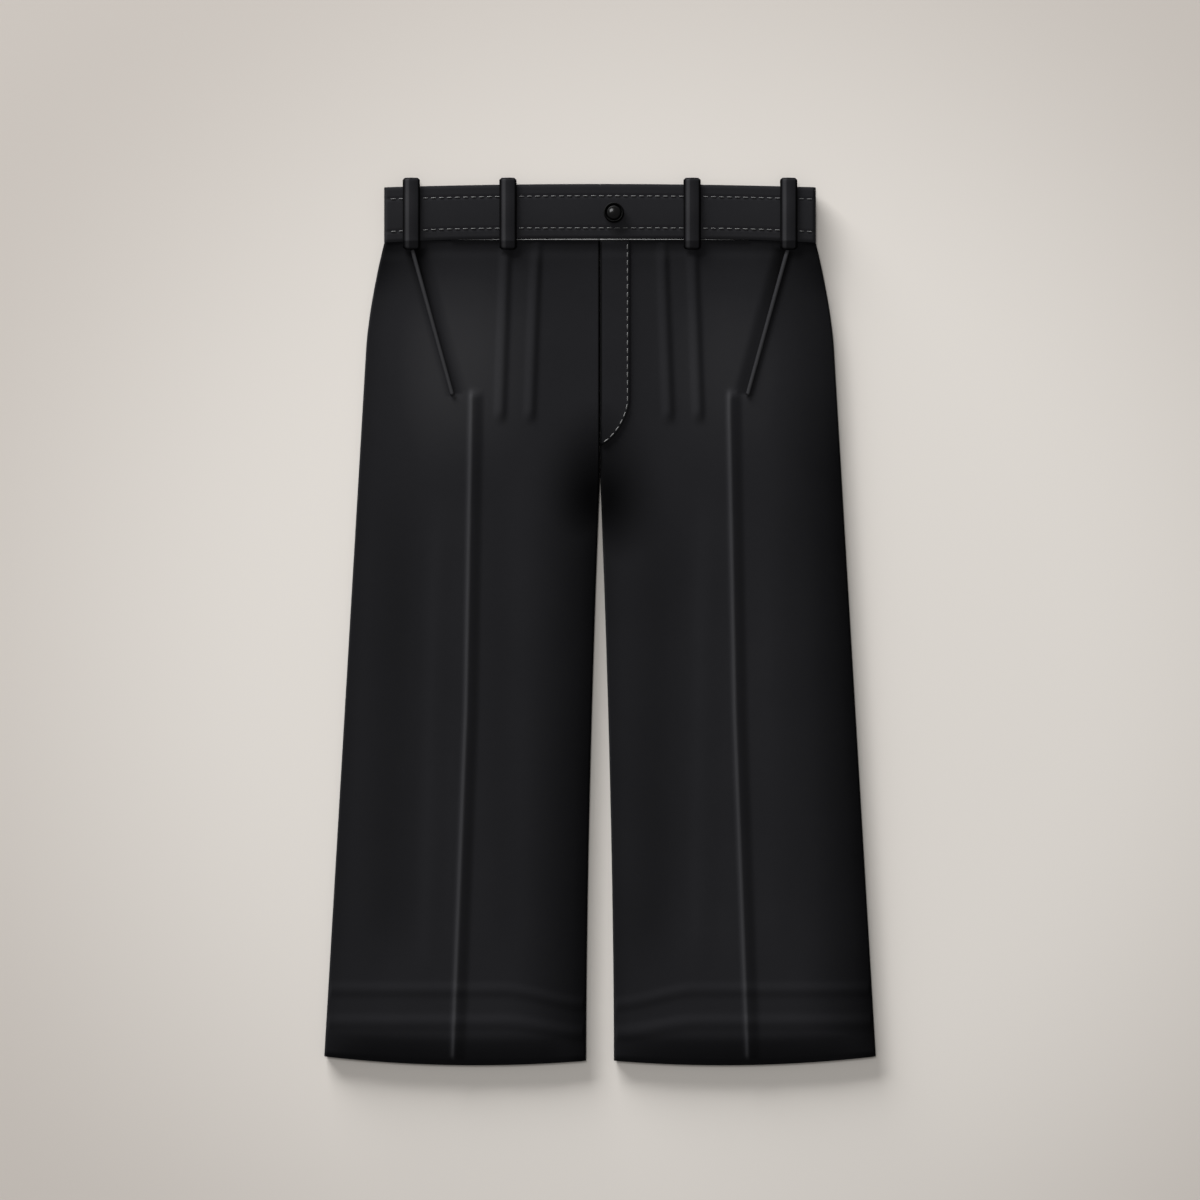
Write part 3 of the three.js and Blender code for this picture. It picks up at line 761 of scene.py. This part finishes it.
print("cloth:", FRONT_CLOTH, "mm front,", BACK_CLOTH, "mm back")

# %% [markdown]
# ## Front legs
# The fronts carry everything the photo shows, so they get the finest grid: about a point each
# millimetre and a half across, enough for a crease to read as pressed and not as a bend.

# %% Front legs
FRONT_GRID = (170, 220)
FRONT_ROWS = ((0, 0), (0.42, 250), (0.8, 680), (1, PANEL_LENGTH))
ROLL_COLUMNS = 8
CROTCH_TURN = 26  # length over which the flat seam turns into a rolled edge
HEM_ROUND = (0.8, 2.4)  # how much the hem is rounded off, and over what length


def panel_column(u, columns, share, up):
    """Turns a column into a place: (x, y, None) inside the panel, (x, y, z) on its rolled edges."""
    count = u * columns
    for near, edge, inward in ((count, inner_x, 1), (columns - count, side_x, -1)):
        if near < ROLL_COLUMNS - 1e-6:
            edge_x = settle(share, edge)
            y = row_y(share, edge_x)
            down = panel_top(edge_x) - y
            flat = edge_top(down) if up > 0 else back_bottom(down)
            radius = abs(flat - seam_level(down) - up * GAP / 2)
            turn = ease((CROTCH_Y + CROTCH_TURN - y) / CROTCH_TURN) if edge is inner_x else 1
            top = front_base(edge_x + inward * radius, y) if up > 0 else flat
            angle = 90 * (1 - near / ROLL_COLUMNS)
            x, z = rolled(edge_x, inward, angle, turn, radius, top, up)
            return x, y, z, angle
    inner, side = settle(share, inner_x), settle(share, side_x)
    y = row_y(share, inner)
    down = PANEL_LENGTH * share
    flat = edge_top(down) if up > 0 else back_bottom(down)
    radius = abs(flat - seam_level(down) - up * GAP / 2)
    f = (count - ROLL_COLUMNS) / (columns - 2 * ROLL_COLUMNS)
    x = mix(inner + radius, side - radius, f)
    return x, row_y(share, x), None, 0


def front_place(side):
    def place(u, v):
        share = spaced(FRONT_ROWS, tight(v, FRONT_GRID[1])) / PANEL_LENGTH
        x, y, z, angle = panel_column(u, FRONT_GRID[0], share, 1)
        if z is None:
            z = front_top(side, x, y)
        above = y - hem_y(x)
        z -= HEM_ROUND[0] * clamp01(1 - above / HEM_ROUND[1]) ** 2 * math.cos(math.radians(angle))
        return side * x, y, z, front_painted_light(side, x, y)

    return place


for word, side in SIDES:
    name = f"{word}_front_cloth"
    laid_sheet(name, *FRONT_GRID, front_place(side), FRONT_CLOTH, True, cloth)
    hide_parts(f"front_leg_{word}")

# %% [markdown]
# ## Back legs
# The backs lie flat on the table. Their edges rise to meet the fronts in the side and inside seams,
# and their top goes up to the waistband. Seen from below they have the same long folds as the
# fronts, here as shallow troughs, since a ridge would be pressed flat by the table.

# %% Back legs
BACK_GRID = (110, 100)
BACK_ROWS = ((0, 0), (0.5, 260), (1, PANEL_LENGTH))
BACK_TROUGHS = {  # as DRAPES, with depths instead of heights
    -1: ((124, 141, 7, 0.5), (182, 196, 26, 0.45), (78, 70, 20, 0.3)),
    1: ((124, 141, 7, 0.5), (70, 60, 28, 0.45), (172, 188, 20, 0.3)),
    "start": 150, "in": 90, "out": 60, "clear": 12,
}
# Painted shade on the backs towards their side edges, and painted light in their troughs.
BACK_SHADING = {"less": 0.16, "reach": 40, "more_in_troughs": 0.2}


def back_place(side):
    def place(u, v):
        share = spaced(BACK_ROWS, v) / PANEL_LENGTH
        x, y, z, _ = panel_column(u, BACK_GRID[0], share, -1)
        down = panel_top(x) - y
        trough = long_folds(BACK_TROUGHS, side, x, down)
        if z is None:
            z = back_bottom(down) + trough
        # Painted shade near the side edge, painted light in the troughs.
        painted = PLAIN - BACK_SHADING["less"] * clamp01(1 - (side_x(y) - x) / BACK_SHADING["reach"])
        return side * x, y, z, painted + BACK_SHADING["more_in_troughs"] * trough

    return place


for word, side in SIDES:
    name = f"{word}_back_cloth"
    laid_sheet(name, *BACK_GRID, back_place(side), BACK_CLOTH, False, cloth)
    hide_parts(f"back_leg_{word}")

# %% [markdown]
# ## Waistband
# A waistband is a strip folded over a stiffener, so its long edges are round and its middle is a
# little full. Two rows of stitching pull narrow furrows into it near its edges. At the sides it
# turns round to the back band.

# %% Waistband
BAND_LEVEL = 9.0
BAND_CLOTH = 2.6
BACK_BAND_LEVEL = 1.8
BACK_BAND_CLOTH = 2.4
BAND_CROWN = 0.6
BAND_GRID = (150, 40)
STITCH_INSET_TOP = 11.4
STITCH_INSET_LOW = 10.1
FURROW = {"depth": 0.25, "spread": 2.4}
BAND_EDGE = (0.5, 1.4)  # how much its long edges are rounded off, and over what width
BAND_JOINT = 0.04
# Painted light on the band: lighter towards its lower edge, with painted shade along its top edge
# and on the turned end of the band on the left of the picture.
BAND_PAINTED_LIGHT = {"high": 0.46, "low": 0.58, "top_less": 0.18, "top_reach": 3.5, "left_turn_less": 0.45}
BACK_BAND_GRID = (200, 16)
BACK_BAND_SHORTER = 0.8


def band_face(x, y):
    """Height of the front waistband at a point."""
    top, low = band_top(x), band_bottom(x)
    middle, half = (top + low) / 2, (top - low) / 2
    near = min(top - y, y - low)
    z = BAND_LEVEL + BAND_CROWN * bell((y - middle) / half) ** 0.7
    z -= BAND_EDGE[0] * clamp01(1 - near / BAND_EDGE[1]) ** 2
    for row in (top - STITCH_INSET_TOP, low + STITCH_INSET_LOW):
        z -= FURROW["depth"] * bell((y - row) / FURROW["spread"])
    return z


# Painted light and shade of the band at a point.
def band_painted_light(side, x, y, v, turned):
    value = mix(BAND_PAINTED_LIGHT["high"], BAND_PAINTED_LIGHT["low"], v)
    value -= BAND_PAINTED_LIGHT["top_less"] * clamp01(1 - (band_top(x) - y) / BAND_PAINTED_LIGHT["top_reach"])
    return value - BAND_PAINTED_LIGHT["left_turn_less"] * min(1, turned) * (side < 0)


def front_band_place(side):
    def place(u, v):
        count = u * BAND_GRID[0]
        turned = max(0.0, (count - BAND_GRID[0] + ROLL_COLUMNS) / ROLL_COLUMNS)
        radius = BAND_LEVEL - WAIST_SEAM - GAP / 2
        if turned > 0:
            x, fall = rolled(WAIST_HALF, -1, 90 * turned, 1, radius, 0, 1)
        else:
            count = TIGHT / 2 if 0 < count < 1.5 else count
            x, fall = mix(BAND_JOINT, WAIST_HALF - radius, count / (BAND_GRID[0] - ROLL_COLUMNS)), 0
        y = mix(band_top(x), band_bottom(x), tight(v, BAND_GRID[1]))
        lift = band_face(x, y) - BAND_LEVEL
        z = BAND_LEVEL + fall + lift * math.cos(turned * math.pi / 2)
        return side * x, y, z, band_painted_light(side, x, y, v, turned)

    return place


for word, side in SIDES:
    name = f"{word}_front_band_cloth"
    place = front_band_place(side)
    laid_sheet(name, *BAND_GRID, place, BAND_CLOTH, True, band_cloth)
    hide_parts(f"waistband_front_{word}")


def back_band_place(u, v):
    across = 2 * u - 1
    edge = 2 * ROLL_COLUMNS / BACK_BAND_GRID[0]
    radius = WAIST_SEAM - GAP / 2 - BACK_BAND_LEVEL
    if abs(across) > 1 - edge:
        angle = 90 * (abs(across) - 1 + edge) / edge
        x, z = rolled(WAIST_HALF, -1, angle, 1, radius, BACK_BAND_LEVEL, -1)
    else:
        x, z = abs(across) / (1 - edge) * (WAIST_HALF - radius), BACK_BAND_LEVEL
    y = mix(band_top(x) - BACK_BAND_SHORTER, panel_top(x) + GAP, v)
    return math.copysign(x, across), y, z


laid_sheet(
    "back_band_cloth", *BACK_BAND_GRID, back_band_place, BACK_BAND_CLOTH, False, band_cloth
)
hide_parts("waistband_back")
print("waistband height:", round(band_top(0) - band_bottom(0), 1), "mm")

# %% [markdown]
# ## Underlap
# Behind the button the band runs on under the other side, so that it has something to fasten to.
# Only this plain tab of cloth is made, since the band hides it.

# %% Underlap tab
UNDERLAP = {"left": -24, "right": 34, "low": 367, "high": 412, "bottom": 4.7, "cloth": 1.4}


def underlap_place(u, v):
    x = mix(UNDERLAP["left"], UNDERLAP["right"], u)
    y = mix(UNDERLAP["high"], UNDERLAP["low"], v)
    return x, y, UNDERLAP["bottom"] + UNDERLAP["cloth"]


underlap = laid_sheet("underlap_cloth", 12, 10, underlap_place, UNDERLAP["cloth"], True, band_cloth)
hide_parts("waistband_underlap")
print("underlap:", UNDERLAP["right"] - UNDERLAP["left"], "mm wide")

# %% [markdown]
# ## Belt loops
# A belt loop is a narrow strip folded so that its middle is fuller than its edges. It lies across
# the band, follows what it lies on, and stands a little above the band's top edge where it is folded
# under. The strip's rounded face catches the light along its left side, and a painted highlight
# there adds to it, with painted shade round its edges and ends.

# %% Front belt loops
LOOP = {
    "half": 8.2, "corner": 2.8, "cloth": 1.4, "top": 421.75, "low": 353.9, "bow": 0.4,
    "full": 1.0, "full_power": 0.8, "step": 8, "edge": 0.5, "edge_reach": 1.6, "thinner": 0.2,
}
# Painted shade round a loop's long edges and ends, and a painted highlight along its left half.
LOOP_EDGE_SHADE = {"from": 0.71, "fade": 0.12, "end": 1.9, "end_fade": 0.9}
LOOP_HIGHLIGHT = {"middle": -0.46, "half": 0.25, "fade": 0.13, "plain": 0.47, "more": 0.38}
LOOP_CENTRES = (-179.1, -87.4, 87.4, 179.1)
LOOP_GRID = (32, 70)
SEAT_REACH = 1.5
SEAT_RISE = 0.4  # of the band's middle over its level
BAND_MIDDLE_Y = 390


def loop_seat(centre, y):
    """The highest point of the band or panel under a loop near y."""
    z = 0
    for across in (-1, -0.5, 0, 0.5, 1):
        for dy in (-SEAT_REACH, 0, SEAT_REACH):
            x = centre + across * LOOP["half"]
            low_y = min(y + dy, band_top(x))
            if low_y > PIPING_LOW_Y:
                z = max(z, BAND_LEVEL + SEAT_RISE)
            else:
                z = max(z, front_top(math.copysign(1, x), abs(x), low_y))
    return z + GAP


def strip_half(y, strip):
    """Half width of a strip with rounded corners."""
    corner = strip["corner"]
    cut = max(0.0, corner - min(strip["top"] - y, y - strip["low"]))
    return strip["half"] - corner + math.sqrt(max(0.0, corner**2 - cut**2))


def loop_painted_light(across, near_end):
    """Painted highlight along a loop's left half, and painted shade where its edges are folded
    under.
    """
    long_edge = ease((abs(across) - LOOP_EDGE_SHADE["from"]) / LOOP_EDGE_SHADE["fade"])
    end = ease((LOOP_EDGE_SHADE["end"] - near_end) / LOOP_EDGE_SHADE["end_fade"])
    stripe = ease((LOOP_HIGHLIGHT["half"] - abs(across - LOOP_HIGHLIGHT["middle"])) / LOOP_HIGHLIGHT["fade"])
    return mix(LOOP_HIGHLIGHT["plain"] + LOOP_HIGHLIGHT["more"] * stripe, 0.0, max(long_edge, end))


def loop_place(centre):
    edge = max(band_top(centre - LOOP["half"]), band_top(centre + LOOP["half"]))
    seam = band_bottom(abs(centre))
    on_panel, on_band = loop_seat(centre, LOOP["low"]), loop_seat(centre, BAND_MIDDLE_Y)
    seats = {}

    def place(u, v):
        across = 2 * u - 1
        y = mix(LOOP["top"], LOOP["low"], tight(v, LOOP_GRID[1]))
        if v not in seats:
            risen = clamp01((y - LOOP["low"]) / LOOP["step"])
            seats[v] = max(loop_seat(centre, y), mix(on_panel, on_band, risen))
        half = strip_half(y, LOOP)
        near_end = min(LOOP["top"] - y, y - LOOP["low"])
        bow = LOOP["bow"] * bell((2 * y - edge - seam) / (edge - seam))
        full = LOOP["full"] * (1 - across**2) ** LOOP["full_power"]
        full -= LOOP["edge"] * clamp01(1 - near_end / LOOP["edge_reach"]) ** 2
        z = seats[v] + bow + LOOP["cloth"] - LOOP["edge"] + full
        return centre + half * across, y, z, loop_painted_light(across, near_end)

    return place


for number, centre in enumerate(LOOP_CENTRES, 1):
    name = f"front_loop_{number}_cloth"
    wall = LOOP["cloth"] - LOOP["thinner"]
    loop = laid_sheet(name, *LOOP_GRID, loop_place(centre), wall, True, band_cloth)
    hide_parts(f"belt_loop_front_{number}")
    print(name, "at", centre, "mm")

# %% [markdown]
# ## Back belt loops
# The loops on the back are the same strips, pressed flat between the band and the table.

# %% Back belt loops
BACK_LOOP = {"half": 8.2, "corner": 2.8, "cloth": 1.5, "top": 411.5, "low": 354}
BACK_LOOP_CENTRES = (-96, 0, 96)
BACK_LOOP_GRID = (12, 30)


def back_loop_place(centre):
    def place(u, v):
        y = mix(BACK_LOOP["top"], BACK_LOOP["low"], v)
        return centre + strip_half(y, BACK_LOOP) * (2 * u - 1), y, 0

    return place


for number, centre in enumerate(BACK_LOOP_CENTRES, 1):
    name = f"back_loop_{number}_cloth"
    place = back_loop_place(centre)
    loop = laid_sheet(name, *BACK_LOOP_GRID, place, BACK_LOOP["cloth"], False, band_cloth)
    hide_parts(f"belt_loop_back_{number}")

# %% [markdown]
# ## Fly
# The wearer's left front laps over the right. Its edge is the fly, a J-shaped layer that ends short
# of the crotch. It lies on the panel's own heights, so it follows the hip and the sinking seam.

# %% Fly front
FLY = {"left": 0.4, "top": 362.2, "end": 168.35}
FLY_EDGE = {"right": 28.5, "straight_to": 210.8, "bottom": 168}
FLY_SEAM = {"right": 26.1, "straight_to": 209.5, "bottom": 170}
FLY_CLOTH = 0.9
FLY_THINNER = 0.1
FLY_GRID = (28, 130)
FLY_ROUND = (0.45, 1.2)  # how much its edges are rounded off, and over what width
# Painted shade along the fly's top edge, under the waistband: how much, and over what length.
FLY_TOP_SHADE = (0.5, 1.6)
J_POWER = 1.55


def j_edge(y, line):
    """A J-shaped line: straight down, then round to the centre seam."""
    down = clamp01((line["straight_to"] - y) / (line["straight_to"] - line["bottom"]))
    return line["right"] * (1 - down**J_POWER) ** (1 / J_POWER)


def fly_place(u, v):
    y = mix(FLY["top"], FLY["end"], v)
    edge = j_edge(y, FLY_EDGE)
    x = mix(FLY["left"], edge, u)
    near = min(x - FLY["left"], edge - x)
    z = front_base(x, y) + GAP + FLY_CLOTH - FLY_ROUND[0] * clamp01(1 - near / FLY_ROUND[1]) ** 2
    # Painted shade along the fly's top edge.
    fly_top_shade = FLY_TOP_SHADE[0] * clamp01(1 - (FLY["top"] - y) / FLY_TOP_SHADE[1])
    return x, y, z, front_painted_light(1, x, y) - fly_top_shade


fly = laid_sheet("fly_cloth", *FLY_GRID, fly_place, FLY_CLOTH - FLY_THINNER, True, cloth)
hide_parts("fly_front")
print("fly length:", round(FLY["top"] - FLY_EDGE["bottom"]), "mm")

# %% [markdown]
# ## Pocket welts
# A welt is a very narrow folded strip. From above it is a thin line with a rounded top that catches
# the light, so it is laid as its own strip with a domed section. Its middle gets a painted highlight
# and its sides painted shade.

# %% Pocket welts
WELT_HALF = 1.9
WELT_CLOTH = 1.0
WELT_WALL = 0.9
WELT_GRID = (8, 90)
WELT_DOME = 0.3
# Painted highlight in the welt's middle, painted shade towards its sides.
WELT_PAINTED_LIGHT = {"middle": 0.95, "edges_less": 0.6}


def welt_place(side):
    def place(u, v):
        across = 2 * u - 1
        x = mix(POCKET_TOP[0], POCKET_LOW[0], v) - across * WELT_HALF * POCKET_WAY[1]
        y = mix(POCKET_TOP[1], POCKET_LOW[1], v) + across * WELT_HALF * POCKET_WAY[0]
        z = front_base(x, y) + GAP + WELT_CLOTH - WELT_DOME * across**2
        return side * x, y, z, WELT_PAINTED_LIGHT["middle"] - WELT_PAINTED_LIGHT["edges_less"] * across**2

    return place


for word, side in SIDES:
    name = f"{word}_pocket_welt_cloth"
    laid_sheet(name, *WELT_GRID, welt_place(side), WELT_WALL, True, cloth)
    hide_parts(f"pocket_welt_{word}")

# %% [markdown]
# ## Waist piping
# A thin grey cord is caught in the waist seam. It runs straight while the band's lower edge is
# slightly curved, so the band covers it towards the sides. A cord is a cylinder: here one with many
# rings, each moved onto the seam and made smaller where the band closes over it.

# %% Piping cords
PIPING_END = 142
PIPING_Z = 8.35
PIPING_RADIUS = 0.5
PIPING_SHARE = (0.88, 0.2)  # how much of it the seam lets out, at the middle and at the end
PIPING_SWELL = (0.14, 60)  # how far it bulges over the seam's edges, and where that fades
PIPING_CUTS = 40


def piping_cord(word, side):
    work = bmesh.new()
    bmesh.ops.create_cone(
        work, cap_ends=True, segments=12, radius1=1, radius2=1, depth=1,
        matrix=Matrix.Translation((0.5, 0, 0)) @ Matrix.Rotation(math.pi / 2, 4, "Y"),
    )
    long_edges = [e for e in work.edges if abs(e.verts[0].co.x - e.verts[1].co.x) > 0.5]
    bmesh.ops.subdivide_edges(work, edges=long_edges, cuts=PIPING_CUTS, use_grid_fill=False)
    for point in work.verts:
        x = mix(SEWN / 2, PIPING_END, point.co.x)
        high = band_bottom(x) - GAP
        middle, half = (high + PIPING_LOW_Y) / 2, (high - PIPING_LOW_Y) / 2
        half += PIPING_SWELL[0] * ease((PIPING_END - x) / PIPING_SWELL[1])
        half *= mix(*PIPING_SHARE, x / PIPING_END)
        place = (side * x, middle + half * point.co.y, PIPING_Z + PIPING_RADIUS * point.co.z)
        point.co = Vector(place) * MM
    bmesh.ops.recalc_face_normals(work, faces=work.faces)
    piece = as_piece(f"{word}_piping_cord", work, piping_thread)
    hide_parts(f"waist_piping_{word}")
    return piece


pipings = [piping_cord(word, side) for word, side in SIDES]
print("piping:", [p.name for p in pipings])

# %% [markdown]
# ## Button
# The button is a turned shape: a raised rim, a groove inside it and a domed middle, with no holes
# because it is sewn on by a shank behind. A turned shape is spun from half of its profile.

# %% Button
BUTTON_PROFILE = (
    (0, 0), (8.4, 0), (9.1, 0.25), (9.5, 0.75), (9.65, 1.35), (9.55, 1.95), (9.1, 2.35),
    (8.5, 2.45), (7.9, 2.2), (7.5, 1.75), (7.1, 1.55), (6.2, 2.15), (5.0, 2.6), (3.4, 2.86),
    (1.7, 3.0), (0, 3.05),
)
BUTTON_STEPS = 64

work = bmesh.new()
outline = [work.verts.new((r, 0, z)) for r, z in BUTTON_PROFILE]
edges = [work.edges.new(pair) for pair in zip(outline, outline[1:])]
bmesh.ops.spin(
    work, geom=outline + edges, cent=(0, 0, 0), axis=(0, 0, 1), angle=math.tau, steps=BUTTON_STEPS,
    use_merge=True,
)
bmesh.ops.remove_doubles(work, verts=work.verts, dist=0.001)
bmesh.ops.recalc_face_normals(work, faces=work.faces)
bmesh.ops.translate(work, verts=work.verts, vec=(BUTTON_X, BUTTON_Y, BUTTON_SEAT))
bmesh.ops.scale(work, verts=work.verts, vec=(MM, MM, MM))
button = as_piece("button", work, button_plastic)
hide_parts("waist_button")
print("button faces:", len(button.data.polygons))

# %% [markdown]
# ## Topstitching
# Stitches that show are short, plump bits of thread with gaps between them. Each is a small
# flattened ball, stretched along the seam, and one mesh holds a whole seam. Two rows run along the
# waistband, and one follows the J of the fly.

# %% Stitches
STITCH_PITCH = 7.6
STITCH_LENGTH = 5.0
BAND_STITCH_WIDTH = 0.68
FLY_STITCH_WIDTH = 0.95
STITCH_HEIGHT = 0.8
STITCH_LIFT = {"band": 0.15, "fly": 0.1}
BLUNT = (0.45, 0.8, 0.8)  # powers under 1 square the ball off along, across and upwards


def stitched_seam(name, places, width):
    """One mesh of stitches. places holds (x, y, z, the seam's angle in the plane of the table)."""
    work = bmesh.new()
    size = Matrix.Diagonal((STITCH_LENGTH / 2, width / 2, STITCH_HEIGHT / 2, 1))
    for x, y, z, angle in places:
        lie = Matrix.Translation((x, y, z)) @ Matrix.Rotation(angle, 4, "Z") @ size
        ball = bmesh.ops.create_uvsphere(work, u_segments=8, v_segments=6, radius=1)
        for point in ball["verts"]:
            blunt = [math.copysign(abs(v) ** power, v) for v, power in zip(point.co, BLUNT)]
            point.co = lie @ Vector(blunt)
    bmesh.ops.scale(work, verts=work.verts, vec=(MM, MM, MM))
    piece = as_piece(name, work, thread)
    print(name, len(places), "stitches")
    return piece


def along_path(points, pitch):
    """Places along a fine path at an even pitch, each with the direction of the path there."""
    places, walked, due = [], 0.0, pitch / 2
    for (x0, y0), (x1, y1) in zip(points, points[1:]):
        step = math.dist((x0, y0), (x1, y1))
        while walked + step >= due:
            f = (due - walked) / step
            places.append((mix(x0, x1, f), mix(y0, y1, f), math.atan2(y1 - y0, x1 - x0)))
            due += pitch
        walked += step
    return places


def row_on_band(row_y_at):
    fine = [(x, row_y_at(x)) for x in range(-200, 201, 2)]
    lift = STITCH_LIFT["band"]
    return [(x, y, band_face(abs(x), y) + lift, a) for x, y, a in along_path(fine, STITCH_PITCH)]


top_row = row_on_band(lambda x: band_top(x) - STITCH_INSET_TOP)
low_row = row_on_band(lambda x: band_bottom(x) + STITCH_INSET_LOW)
band_stitches = stitched_seam("band_stitches", top_row + low_row, BAND_STITCH_WIDTH)

j_path = [(j_edge(y, FLY_SEAM), y) for y in (360 - i / 2 for i in range(380))]
fly_places = [
    (x, y, front_base(x, y) + GAP + FLY_CLOTH + STITCH_LIFT["fly"], a)
    for x, y, a in along_path(j_path, STITCH_PITCH)
]
fly_stitches = stitched_seam("fly_stitches", fly_places, FLY_STITCH_WIDTH)
